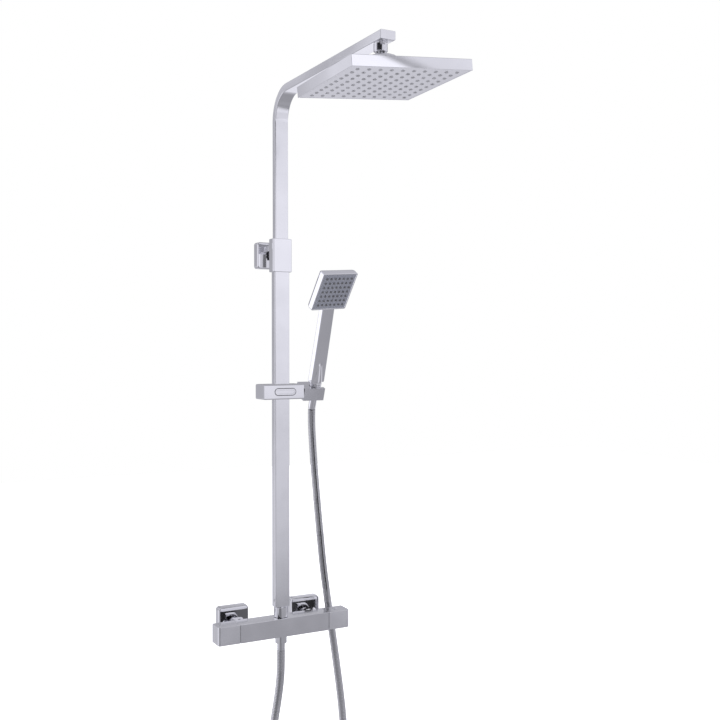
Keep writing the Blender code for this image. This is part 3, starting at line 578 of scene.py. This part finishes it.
def make_valve():
    body = block((BODY_LEFT, BAR_Y - BAR_HALF, -BAR_HALF), (BODY_RIGHT, BAR_Y + BAR_HALF, BAR_HALF))
    axis = (0.0, BAR_Y, 0.0)
    tools = [
        (JOIN, rod(10.0, 10.0, 27.0, centre=axis)), (JOIN, rod(8.8, -25.0, -10.0, centre=axis)),
    ]
    for x in (-INLET_X, INLET_X):
        tools.append((JOIN, rod(11.0, BAR_Y + 10, -42.0, "Y", (x, 0, 0))))
    piece("valve_bar", body, "wall_unit", "bar", ["valve_body"], edge=0.7, tools=tools)

    for side, end, inner, body_name, node in (
        (-1, KNOB_LEFT, BODY_LEFT - 0.5, "flow_control", "flow_knob"),
        (1, KNOB_RIGHT, BODY_RIGHT + 0.5, "temperature_control", "temperature_knob"),
    ):
        knob = knob_shape(inner, end + side * 2.0)
        screw_x = inner + side * 13.5
        tools = [(CUT, rod(2.4, -BAR_HALF - 1, -12.0, centre=(screw_x, BAR_Y, 0)))]
        if side > 0:
            tools.append((CUT, rod(4.6, 12.0, BAR_HALF + 1, centre=(STOP_X, BAR_Y, 0))))
        piece(node + "_cap", knob, body_name, "knob", [node], edge=0.3, angle=40, tools=tools)
    button = [
        (0.0, 18.85), (2.6, 18.8), (3.5, 18.6), (4.0, 18.2), (4.2, 17.5), (4.2, 12.0), (5.5, 12.0),
        (5.5, 10.8), (0.0, 10.8),
    ]
    centre = (STOP_X, BAR_Y, 0)
    piece("stop_button_cap", turned(button, 40, "Z", centre), "temperature_stop", "chrome",
          ["temperature_stop_button"])


def knob_shape(inner, outer):
    """A square block whose outer front upright edge is well rounded, the other edges less."""
    low = (min(inner, outer), BAR_Y - BAR_HALF, -BAR_HALF)
    high = (max(inner, outer), BAR_Y + BAR_HALF, BAR_HALF)
    shape = block(low, high)
    round_edges(shape, upright_edges(shape, outer, BAR_Y - BAR_HALF), 4.5, 8)
    rim = [
        e for e in shape.edges
        if any(abs(v.co.x - inner) > 1 for v in e.verts) and is_level(e)
        or all(abs(v.co.x - outer) < 1e-6 and v.co.y > BAR_Y for v in e.verts)
    ]
    round_edges(shape, rim, 1.1, 4)
    return shape


# Inlets

def cover_shape(size, centre, hole, corner=6.0, depth=18.0, fillet=3.0, wall=2.5):
    """A cup-shaped cover with a rounded front and an open back.

    The hole for what passes through is a radius, or a width, a height and a rise.
    """
    outline = rounded_outline(size, size, corner)
    heading = [math.atan2(b, a) for a, b in outline]

    def loop(inset, y):
        line = rounded_outline(size - 2 * inset, size - 2 * inset, max(corner - inset, 0.8))
        return [(centre[0] + a, y, centre[1] + b) for a, b in line]

    def mouth(y):
        if isinstance(hole, tuple):
            spots = [(a, hole[2] + b) for a, b in rounded_outline(hole[0], hole[1], 0.8)]
        else:
            spots = [(hole * math.cos(h), hole * math.sin(h)) for h in heading]
        return [(centre[0] + a, y, centre[1] + b) for a, b in spots]

    loops = [loop(0.0, 0.0), loop(0.0, fillet - depth)]
    for angle in arc_steps(6)[1:]:
        loops.append(loop(fillet * (1 - math.cos(angle)), fillet - depth - fillet * math.sin(angle)))
    loops += [mouth(-depth), mouth(wall - depth), loop(wall, wall - depth), loop(wall, 0.0)]
    return skin(loops, ring=True)


def threads(radius, depth, start, end, pitch):
    """The (radius, height) profile of a row of thread crests."""
    count = round((end - start) / pitch)
    profile = []
    for i in range(count):
        base = start + i * pitch
        profile += [(radius - depth, base), (radius, base + pitch * 0.35), (radius, base + pitch * 0.6)]
    return profile + [(radius - depth, end)]


def make_inlets():
    for side, hand in ((-1, "left"), (1, "right")):
        x = side * INLET_X
        centre, tail_centre = (x, 0.0, 0.0), (x, 0.0, INLET_RISE)
        cover = cover_shape(FLANGE_SIZE, (x, INLET_RISE), 8.7)
        piece(f"{hand}_flange_cover", cover, "wall_unit", "chrome", [f"{hand}_wall_flange"])
        hex_nut(f"{hand}_union_hex", "wall_unit", 32.0, -43.6, -31.0, "Y", centre, 8.5,
                [f"{hand}_union_nut"], 30)
        front = [(0.0, -36.0), (8.0, -36.0), (8.0, -20.3), (7.2, -19.5), (0.0, -19.5)]
        tail = [(0.0, -23.0), (8.0, -23.0), (8.0, -2.0), (7.2, -1.5)]
        tail += threads(8.0, 0.8, -1.0, 14.0, 1.6) + [(6.6, 15.0), (0.0, 15.0)]
        piece(
            f"{hand}_inlet_tail", turned(front, 48, "Y", centre), "wall_unit", "chrome",
            [f"{hand}_inlet_connector"], angle=25,
            tools=(
                (JOIN, turned(tail, 48, "Y", tail_centre, phase=3)),
                (CUT, rod(5.9, -37.0, -21.3, "Y", centre)),
                (CUT, rod(5.9, -22.2, 16.0, "Y", tail_centre, phase=3)),
            ),
        )


# Riser and arm

def make_riser():
    axis = (0.0, BAR_Y, 0.0)
    tube = box_tube(LOWER_TUBE, LOWER_BORE, (RISER_FOOT, RISER_TOP), 1.6, BAR_Y)
    piece("lower_riser", tube, "wall_unit", "tube", ["lower_riser_tube"])
    hex_nut("riser_hex", "wall_unit", 26.0, 17.7, 36.8, "Z", axis, 7.6, ["riser_union_nut"], -4, 5.0)

    top = ARM_TOP - 7.0
    stations = [((BAR_Y, 520.0), 0.0), ((BAR_Y, 700.0), 0.0), ((BAR_Y, 900.0), 0.0)]
    for angle in arc_steps(28):
        y = BAR_Y - BEND_R * (1 - math.cos(angle))
        z = top - BEND_R * (1 - math.sin(angle))
        stations.append(((y, z), angle))
    for y in (-230.0, -350.0, ARM_END + 1.5):
        stations.append(((y, top), math.pi / 2))

    def loop(station, outline):
        (y, z), angle = station
        across, up = math.cos(angle), math.sin(angle)
        return [(a, y + b * across, z + b * up) for a, b in outline]

    outer, inner = rounded_outline(*ARM_TUBE, 1.5, 5), rounded_outline(*ARM_BORE, 0.6, 5)
    loops = [loop(s, outer) for s in stations] + [loop(s, inner) for s in reversed(stations)]
    hole = rod(6.0, ARM_TOP - 16, ARM_TOP - 11, centre=(0, BALL[1], 0))
    arm = raw_object("riser_and_arm", skin(loops, ring=True))
    combine(arm, hole)
    dress(arm, "riser", "tube", ["riser_arm"], angle=40)
    cap = block((-13.1, ARM_END, ARM_TOP - 14.0), (13.1, ARM_END + 1.45, ARM_TOP), 1.5, "Y", 5)
    piece("arm_end_plate", cap, "riser", "tube", ["arm_end_cap"], edge=0.4)


# Bracket

def make_bracket():
    arm_z, half_h = 714.8, 5.4
    sleeve = box_tube((38.4, 21.4), (30.3, 17.3), (667.0, 729.0), 2.6, BAR_Y, 0.7)
    lug = block((-20.2, BAR_Y - 7.7, arm_z - half_h), (-17.0, BAR_Y + 9.7, arm_z + half_h))
    shape = raw_object("riser_sleeve", sleeve)
    combine(shape, lug, JOIN)
    hollow = block((-15.15, BAR_Y - 8.65, 660.0), (15.15, BAR_Y + 8.65, 735.0), 1.0, "Z")
    combine(shape, hollow)
    dress(shape, "wall_unit", "chrome", ["bracket_sleeve"], edge=0.3)
    arm = block((-6.0, -57.45, arm_z - half_h), (6.0, -5.4, arm_z + half_h))
    piece("bracket_bar", arm, "wall_unit", "chrome", ["bracket_arm"], edge=0.8)
    cover = cover_shape(BRACKET_COVER_SIZE, (0.0, 702.0), (12.9, 11.7, 12.8), 5.0, 18.0, 2.6)
    piece("bracket_cover", cover, "wall_unit", "chrome", ["bracket_wall_flange"])
    under = arm_z - half_h
    screw = [
        (0.0, under - 16.0), (3.0, under - 16.0), (3.4, under - 15.4), (3.4, under - 12.6),
        (4.6, under - 12.2), (5.0, under - 11.6), (5.0, under - 8.2), (4.5, under - 7.8),
        (4.5, under - 6.6), (5.0, under - 6.2), (5.0, under - 1.0), (4.5, under - 0.5),
        (2.4, under - 0.5), (2.4, arm_z + 3.0), (0.0, arm_z + 3.0),
    ]
    piece("bracket_thumb_screw", turned(screw, 40, "Z", (0.0, -23.6, 0.0)), "wall_unit", "black",
          ["bracket_lock_screw"])


# Rain head

def nozzle_shape(spot, height, low, radius, sides=16):
    """One soft nozzle: a collar on the plate and a tapered tip with a small mouth."""
    x, y = spot
    shares = (
        (1.18, 0.0), (1.14, 0.22), (0.98, 0.34), (0.90, 0.40), (0.74, 0.92), (0.58, 1.0), (0.30, 1.0),
        (0.24, 0.55), (0.0, 0.55),
    )
    profile = [(radius * out, height - low * down) for out, down in shares]
    return turned(profile, sides, "Z", (x, y, 0.0))


def nozzle_grid(rows, pitch, height, low, radius):
    first = -(rows - 1) / 2 * pitch
    spots = [(first + i * pitch, first + j * pitch) for i in range(rows) for j in range(rows)]
    return merged([nozzle_shape(spot, height, low, radius) for spot in spots])


def make_rain_head():
    bottom, top = HEAD_BOTTOM, HEAD_TOP
    shell = block((-HEAD_HALF, -HEAD_HALF, bottom), (HEAD_HALF, HEAD_HALF, top))
    pocket = block((-97.6, -97.6, bottom - 1), (97.6, 97.6, bottom + 2.6))
    piece("rain_head_cover", shell, "rain_head", "chrome", ["rain_head_shell"], RAIN_HEAD, 0.7,
          tools=((CUT, pocket),))
    plate = block((-97.3, -97.3, bottom + 0.3), (97.3, 97.3, bottom + 2.4))
    piece("rain_head_plate", plate, "rain_head", "plate", ["rain_head_face"], RAIN_HEAD, 0.3)
    grid = nozzle_grid(10, 18.4, bottom + 0.5, 1.4, 3.0)
    piece("rain_head_nozzles", grid, "rain_head", "pale_nozzle", ["rain_head_nozzle_mat"], RAIN_HEAD)

    dome = [
        (4.4, top), (33.0, top), (32.8, top + 1.4), (31.5, -16.0), (29.2, -8.0), (26.5, -2.0),
        (23.5, 1.2), (19.0, 3.2), (14.0, 4.7), (10.6, 5.7), (9.9, 5.9), (9.7, 5.5),
    ]
    for latitude in (15, -5, -25, -45, -60):
        angle = math.radians(latitude)
        dome.append((11.2 * math.cos(angle), 11.2 * math.sin(angle)))
    dome.append((4.4, -11.5))
    piece("ball_socket", turned(dome, 72, ring=True), "rain_head", "chrome", ["rain_head_socket"],
          RAIN_HEAD)
    collar = [(6.0, 9.0), (9.4, 9.0), (10.2, 9.6)]
    for i in range(6):
        z = 10.2 + i * 1.95
        collar += [(11.0, z), (11.0, z + 1.25), (10.45, z + 1.4), (10.45, z + 1.75)]
    collar += [(10.6, 22.0), (10.0, 22.6), (6.0, 22.6)]
    piece("arm_collar", turned(collar, 72, "Z", BALL, ring=True), "riser", "chrome",
          ["arm_swivel_nut"], angle=28)
    stud = [(2.4, 34.0), (2.4, -7.3)]
    for latitude in range(-64, 58, 8):
        angle = math.radians(latitude)
        stud.append((8.0 * math.cos(angle), 8.0 * math.sin(angle)))
    stud += [(4.4, 7.0), (4.4, 12.0), (5.5, 12.4), (5.5, 34.0)]
    piece("arm_ball", turned(stud, 48, "Z", BALL, ring=True), "riser", "chrome", ["ball_stud"])


# Slider and cradle

def stadium(width, height, start, end, centre, inset=0.0, steps=14):
    """A long round-ended block reaching along Y; its front edge may be rounded by inset."""
    radius = height / 2

    def loop(less, y):
        points = []
        for side, first in ((1, -90), (-1, 90)):
            for step in range(steps + 1):
                angle = math.radians(first + 180 / steps * step)
                reach = radius - less
                x = side * (width / 2 - radius) + reach * math.cos(angle)
                points.append((centre[0] + x, y, centre[1] + reach * math.sin(angle)))
        return points

    loops = []
    if inset:
        for angle in arc_steps(4):
            loops.append(loop(inset * (1 - math.sin(angle)), start + inset * (1 - math.cos(angle))))
    else:
        loops.append(loop(0.0, start))
    return skin(loops + [loop(0.0, end)])


def slider_shape(low, high):
    """A block with its level edges rounded, and its rear left upright edge more."""
    shape = block(low, high)
    round_edges(shape, upright_edges(shape, low[0], high[1]), 4.0, 6)
    round_edges(shape, [e for e in shape.edges if is_level(e)], 2.6, 5)
    return shape


def make_slider():
    low, high = (-46.0, -98.0, SLIDER_Z - 14.0), (35.0, -54.5, SLIDER_Z + 14.0)
    hole = block((-16.8, BAR_Y - 10.3, SLIDER_Z - 16), (16.8, BAR_Y + 10.3, SLIDER_Z + 16), 1.5, "Z")
    centre = (BUTTON_X, SLIDER_Z)
    pivot = rod(3.9, 22.0, 36.0, "X", (0, -78.0, SLIDER_Z))
    piece(
        "slider_block", slider_shape(low, high), "slider", "chrome", ["slider_body"], edge=0.5, angle=50,
        tools=((CUT, hole), (CUT, stadium(43.0, 13.6, -99.0, -87.0, centre)), (CUT, pivot)),
    )
    liner = box_tube((33.0, 20.0), (30.3, 17.3), (SLIDER_Z - 13.4, SLIDER_Z + 13.4), 1.6, BAR_Y, 0.3)
    piece("slider_bush", liner, "slider", "plastic", ["slider_liner"])
    button = stadium(42.0, 12.6, -98.5, -91.0, centre, 1.0)
    groove = stadium(36.0, 6.6, -99.0, -98.1, centre)
    piece("slider_push", button, "slider_button", "chrome", ["slider_release_button"], edge=0.2,
          tools=((CUT, groove),))


def make_cradle():
    body = block((0.5, -20.0, -12.0), (42.5, 17.0, 12.0))
    cone = turned([(8.8, -13.0), (12.0, 13.0)], 64, "Z", (28.5, -5.0, 0))
    slot = block((28.5, -12.5, -13.0), (44.0, 2.5, 13.0))
    pivot = rod(3.9, -1.0, 12.0, "X")
    piece("cradle_block", body, "cradle", "satin", ["handset_cradle"], CRADLE, 0.9,
          tools=((CUT, cone), (CUT, slot), (CUT, pivot)))


# Handset

def make_hose_ends():
    cone = [(6.9, -13.0), (7.9, -13.0), (8.3, -12.4), (11.2, 12.0)]
    for z in (13.4, 15.0, 16.6):
        cone += [(11.2, z), (10.7, z + 0.35), (10.7, z + 0.75), (11.2, z + 1.1)]
    cone += [(11.2, 19.0), (10.8, 19.6), (6.9, 19.6)]
    piece("cone_nut", turned(cone, 64, ring=True), "hose_end", "chrome", ["hose_cone_nut"], HOSE_END)
    ferrule = [
        (3.6, -34.6), (6.7, -34.6), (7.0, -34.2), (7.0, -31.6), (6.7, -31.3), (6.7, -29.6), (7.0, -29.3),
        (7.0, -14.0), (6.5, -13.2), (6.5, 12.4), (3.6, 12.4),
    ]
    piece("hose_top_sleeve", turned(ferrule, 48, ring=True), "hose_end", "chrome",
          ["hose_top_ferrule"], HOSE_END)
    axis = (0.0, BAR_Y, 0.0)
    low = [
        (3.6, -26.9), (8.6, -26.9), (8.6, -27.9), (7.7, -28.1), (7.7, -41.0), (7.3, -41.4),
        (7.3, -42.8), (7.7, -43.2), (7.7, -45.4), (7.3, -46.0), (3.6, -46.0),
    ]
    piece("hose_foot_sleeve", turned(low, 48, "Z", axis, ring=True), "wall_unit", "chrome",
          ["hose_bottom_ferrule"])
    hex_nut("hose_outlet_hex", "wall_unit", 22.0, -32.0, -17.7, "Z", axis, 7.0,
            ["hose_outlet_nut"], 2, 3.0)


def make_handset():
    """A tapering handle, and a head skinned from rims whose first ones are the face's recess."""
    loops = []
    stations = [(20.5, 1.2), (20.9, 0.5), (21.7, 0.0), (70.0, 0.0), (120.0, 0.0), (170.0, 0.0)]
    for z, inset in stations:
        t = (z - 20.5) / 148.5
        half = 15.1 + t * (13.7 - 15.1) - inset
        front, back = -6.0 + t * 1.4 + inset, 6.6 + t * 0.8 - inset
        outline = uneven_outline(2 * half, back - front, 1.2, 2.6)
        loops.append([(x, (front + back) / 2 + y, z) for x, y in outline])
    shell = raw_object("handset_body", skin(loops), HANDSET)
    combine(shell, block((-45, -30, -38), (45, 2.8, 45)), CUT, HAND_HEAD)
    rims = [
        (2.6, 36.8, 0.9), (0.3, 36.8, 0.9), (0.0, 37.0, 1.0), (0.0, 38.5, 2.2), (0.5, 39.0, 2.6),
        (10.6, 39.0, 2.6),
    ]
    rims += [(10.6 + 5.2 * t, 39.0 - 1.9 * t ** 1.5, 2.6) for t in (0.15, 0.3, 0.45, 0.6, 0.8, 1.0)]
    rims.append((16.2, 36.2, 2.4))
    head = skin([
        [(x, y, z) for x, z in rounded_outline(2 * half, 2 * half, radius, 5)]
        for y, half, radius in rims
    ])
    combine(shell, head, JOIN, HAND_HEAD)
    neck = [
        (0.0, 20.2), (10.6, 20.2), (11.2, 20.8), (11.2, 26.0), (9.6, 38.0), (7.6, 52.0), (5.4, 65.0),
        (0.0, 65.0),
    ]
    combine(shell, turned(neck, 64), JOIN, HANDSET)
    combine(shell, rod(6.3, 15.0, 22.0), JOIN, HANDSET)
    dress(shell, "handset", "chrome", ["handset_shell"], edge=0.6, angle=34)
    loops = [
        [(x, y, z) for x, z in rounded_outline(73.0 - 2 * inset, 73.0 - 2 * inset, 0.8, 3)]
        for y, inset in ((0.3, 0.3), (0.6, 0.0), (2.4, 0.0))
    ]
    piece("handset_plate", skin(loops), "handset", "grey", ["handset_face"], HAND_HEAD)
    grid = nozzle_grid(7, 9.35, -0.5, 1.9, 1.95)
    turn = HAND_HEAD @ Matrix.Rotation(math.radians(-90), 4, "X")
    piece("handset_nozzles", grid, "handset", "nozzle", ["handset_nozzle_mat"], turn)


# Hose

def smooth_curve(route, spacing):
    """Evenly spaced points on a natural cubic curve through the route's points."""
    points = np.array(route)
    count = len(points)
    step = np.linalg.norm(np.diff(points, axis=0), axis=1)
    place = np.concatenate(([0.0], np.cumsum(step)))
    system = np.eye(count)
    right = np.zeros((count, 3))
    for i in range(1, count - 1):
        system[i, i - 1:i + 2] = (step[i - 1], 2 * (step[i - 1] + step[i]), step[i])
        slopes = (points[i + 1] - points[i]) / step[i] - (points[i] - points[i - 1]) / step[i - 1]
        right[i] = 6 * slopes
    bend = np.linalg.solve(system, right)

    def at(distance):
        i = min(np.searchsorted(place, distance, side="right") - 1, count - 2)
        a, b, h = distance - place[i], place[i + 1] - distance, step[i]
        curved = (bend[i] * b**3 + bend[i + 1] * a**3) / (6 * h)
        level = (points[i] / h - bend[i] * h / 6) * b + (points[i + 1] / h - bend[i + 1] * h / 6) * a
        return curved + level

    total = place[-1]
    return np.array([at(d) for d in np.linspace(0.0, total, round(total / spacing) + 1)])


def hose_frames(points):
    """A tangent and two cross directions at each point, turned as little as possible."""
    tangents = np.gradient(points, axis=0)
    tangents /= np.linalg.norm(tangents, axis=1)[:, None]
    side = np.cross(tangents[0], (0.0, 0.0, 1.0))
    side = np.cross(tangents[0], (1.0, 0.0, 0.0)) if np.linalg.norm(side) < 0.1 else side
    frames = []
    for tangent in tangents:
        side = side - tangent * np.dot(side, tangent)
        side /= np.linalg.norm(side)
        frames.append((tangent, side, np.cross(tangent, side)))
    return frames


def make_hose():
    """The wound steel hose: rings of rounded ribs along the route, in three lengths."""
    fine = smooth_curve(HOSE_ROUTE, FINE_STEP)
    lengths = np.concatenate(([0.0], np.cumsum(np.linalg.norm(np.diff(fine, axis=0), axis=1))))
    frames = hose_frames(fine)
    total = lengths[-1]
    step = total / (len(smooth_curve(HOSE_ROUTE, COARSE_STEP)) - 1)
    first, second = (d / COARSE_STEP * step for d in (HOSE_UPPER, HOSE_UPPER + HOSE_MIDDLE))
    ways = np.linspace(0, 2 * math.pi, 21)[:-1]
    spans = (
        ("hose_upper", 0.0, first, "hose_end", "cradle"),
        ("hose_middle", first, second, "cradle", "slider"),
        ("hose_lower", second, total, "slider", "wall_unit"),
    )
    rib = ((0.0, RIB_DEPTH), (0.10, 0.12), (0.24, 0.0), (0.66, 0.0), (0.80, 0.12), (0.90, RIB_DEPTH))
    for name, start, end, above, below in spans:
        count = round((end - start) / RIB_PITCH)
        pitch = (end - start) / count
        loops = []
        stations = [(start + (i + t) * pitch, depth) for i in range(count) for t, depth in rib]
        stations.append((end - 0.05, RIB_DEPTH))
        for place, depth in stations:
            i = int(np.clip(np.searchsorted(lengths, place), 0, len(fine) - 1))
            _, a, b = frames[i]
            ring = HOSE_R + RIB_SWELL * min(1.0, place / total * 1.6) - depth
            loops.append([fine[i] + ring * (math.cos(w) * a + math.sin(w) * b) for w in ways])
        made = raw_object(name + "_ribs", skin(loops))
        dress(made, None, "hose", [name], angle=60, ridden=False)
        inside = (lengths >= start) & (lengths <= end)
        path = [[float(v) * MM for v in p] for p in fine[inside][::PATH_SKIP]]
        blend_hose(made, name, path)


def blend_hose(made, name, path):
    """Bakes the length's placing into its mesh; no bend between bodies is made.

    The ends of its path, and for the lower one the places in LOWER_BEND, are worked out but not used.
    """
    top, foot = Vector(path[0]), Vector(path[-1])
    if name == "hose_lower":
        top, foot = (Vector((x, top.y, z)) for x, z in LOWER_BEND)
    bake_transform(made)


# The CAD pieces that stay as they are

def dress_cad():
    looks = {
        "brass": ("diverter_cartridge", "thermostatic_cartridge", "diverter_spindle",
                  "temperature_spindle"),
        "chrome": ("riser_foot",),
        "steel": ("flow_knob_grub_screw", "temperature_knob_grub_screw", "bracket_wall_plate",
                  "bracket_fixing_screw", "cradle_pivot_pin"),
        "rubber": ("left_inlet_washer", "right_inlet_washer", "riser_washer", "telescope_seal",
                   "handset_hose_washer", "hose_outlet_washer"),
        "plastic": ("left_check_valve", "right_check_valve", "ball_seat", "ball_slip_ring"),
    }
    for look, names in looks.items():
        for name in names:
            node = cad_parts[name]
            node.data.materials.clear()
            node.data.materials.append(MATERIALS[look])


def hide_from_reflections():
    """The riser and the handset, which would otherwise darken each other."""
    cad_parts["telescope_seal"].visible_glossy = False
    for name in ("lower_riser", "riser_and_arm", "handset_body", "handset_plate", "handset_nozzles"):
        bpy.data.objects[name].visible_glossy = False


def make_spring_rings():
    """The two wave springs, which flatten under their buttons; here they are plain rings that keep their
    shape.
    """
    profile = [(4.4, 8.6), (4.6, 8.8), (4.6, 10.2), (4.4, 10.4), (3.2, 10.4), (3.2, 8.6)]
    ring = turned(profile, 32, "Z", (STOP_X, BAR_Y, 0.0), ring=True)
    made = piece("stop_spring_ring", ring, "temperature_control", "steel", ["stop_button_spring"])
    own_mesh(made)
    x, front, foot = BUTTON_X, -90.6, -86.8
    profile = [(5.0, front), (5.0, foot), (3.4, foot), (3.4, front)]
    ring = turned(profile, 32, "Y", (x, 0.0, SLIDER_Z), ring=True)
    made = piece("button_spring_ring", ring, "slider", "steel", ["release_button_spring"])
    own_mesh(made)


def make_floor():
    floor = raw_object("floor", block((-6000, -6000, -560.0), (6000, 6000, -530.0)))
    made = bpy.data.materials.new("floor")
    made.use_nodes = True
    n = Nodes(made.node_tree)
    pale = {"Base Color": (0.95, 0.95, 0.955, 1.0), "Roughness": 0.9}
    glow = {"Emission Color": WHITE, "Emission Strength": 1.0}
    shader = n.add("ShaderNodeBsdfPrincipled", {**pale, **glow})
    n.add("ShaderNodeOutputMaterial", {"Surface": shader})
    floor.data.materials.append(made)
    floor.visible_glossy = False


make_camera()
studio()
bpy.context.scene.view_settings.view_transform = "Standard"
MATERIALS = make_materials()
make_hose()
make_valve()
make_inlets()
make_riser()
make_bracket()
make_rain_head()
make_slider()
make_cradle()
make_hose_ends()
make_handset()
dress_cad()
make_spring_rings()
hide_from_reflections()
make_cards()
make_floor()
